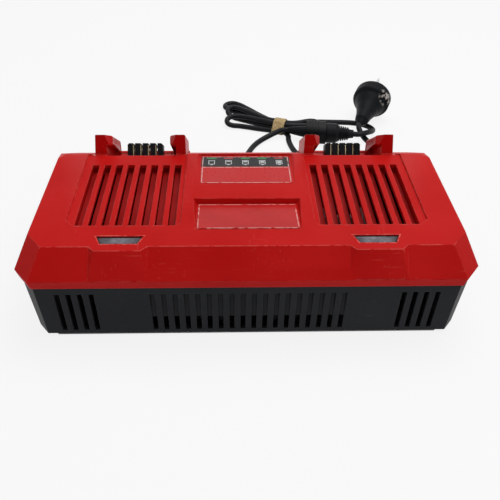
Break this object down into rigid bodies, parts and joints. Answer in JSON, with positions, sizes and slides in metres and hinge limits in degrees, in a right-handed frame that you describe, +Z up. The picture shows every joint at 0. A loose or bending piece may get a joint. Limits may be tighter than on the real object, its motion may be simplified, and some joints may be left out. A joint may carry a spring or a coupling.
{
  "type": "power tool battery charger",
  "caption": "Bench charger for slide-on tool battery packs: sloped bays with hooked rails, louvred vents, a cooling fan and a bundled mains lead with plug.",
  "frame": {"origin": "middle of the underside, on the surface it stands on", "axes": "+Z up, +X along the long side, +Y towards the battery bays and the mains lead"},
  "size_m": [0.3428, 0.404, 0.0945],
  "materials": {
    "red_shell": "satin, finely textured",
    "dark_shell": "matt, finely textured",
    "black_plastic": "satin",
    "smoke_lens": "glossy",
    "label_film": "satin film",
    "rubber": "matt",
    "flex_pvc": "satin",
    "tan_elastic": "matt",
    "steel": "bright",
    "dark_steel": "blackened",
    "board": "solder mask",
    "copper": "enamelled wire",
    "aluminium": "extruded",
    "ferrite": "dull",
    "sleeve": "shrink sleeve",
    "yellow_case": "moulded",
    "wire": "insulation",
    "glass": "clear"
  },
  "bodies": {
    "root": {"top_cover": "red_shell", "base_shell": "dark_shell", "grille_comb_left": "red_shell", "grille_comb_right": "red_shell", "bay_tray_left": "red_shell", "bay_tray_right": "red_shell", "terminal_block_left": "black_plastic", "terminal_block_right": "black_plastic", "contact_blades_left": "steel", "contact_blades_right": "steel", "status_lens_left": "smoke_lens", "status_lens_right": "smoke_lens", "lamp_board_left": "board", "lamp_board_right": "board", "status_label": "label_film", "badge_plate": "red_shell", "rubber_feet": "rubber", "case_screws": "dark_steel", "main_board": "board", "board_screws": "steel", "transformer_core": "ferrite", "transformer_winding": "copper", "primary_heat_sink": "aluminium", "secondary_heat_sink": "aluminium", "power_transistors": "black_plastic", "bulk_capacitors": "sleeve", "output_capacitors": "sleeve", "filter_choke": "copper", "safety_capacitor": "yellow_case", "mains_fuse": "glass", "bridge_rectifier": "black_plastic", "output_leads_left": "wire", "output_leads_right": "wire", "fan_frame": "black_plastic", "strain_relief": "rubber", "inner_lead": "flex_pvc", "inlet_wires": "wire", "lead_clamp": "black_plastic", "charger_lead": "flex_pvc", "turn_lead": "flex_pvc", "plug_lead": "flex_pvc", "lead_hank": "flex_pvc", "hank_tie": "tan_elastic", "coupler_boot": "rubber", "coupler_socket": "black_plastic", "coupler_plug": "black_plastic", "plug_body": "black_plastic", "plug_pins": "steel"},
    "rotor": {"fan_rotor": "black_plastic"}
  },
  "joints": [
    {"name": "fan_spin", "type": "hinge", "parent": "root", "child": "rotor", "pos_m": [0, -0.0775, 0.0296], "axis": [0, 1, 0], "continuous": true}
  ]
}
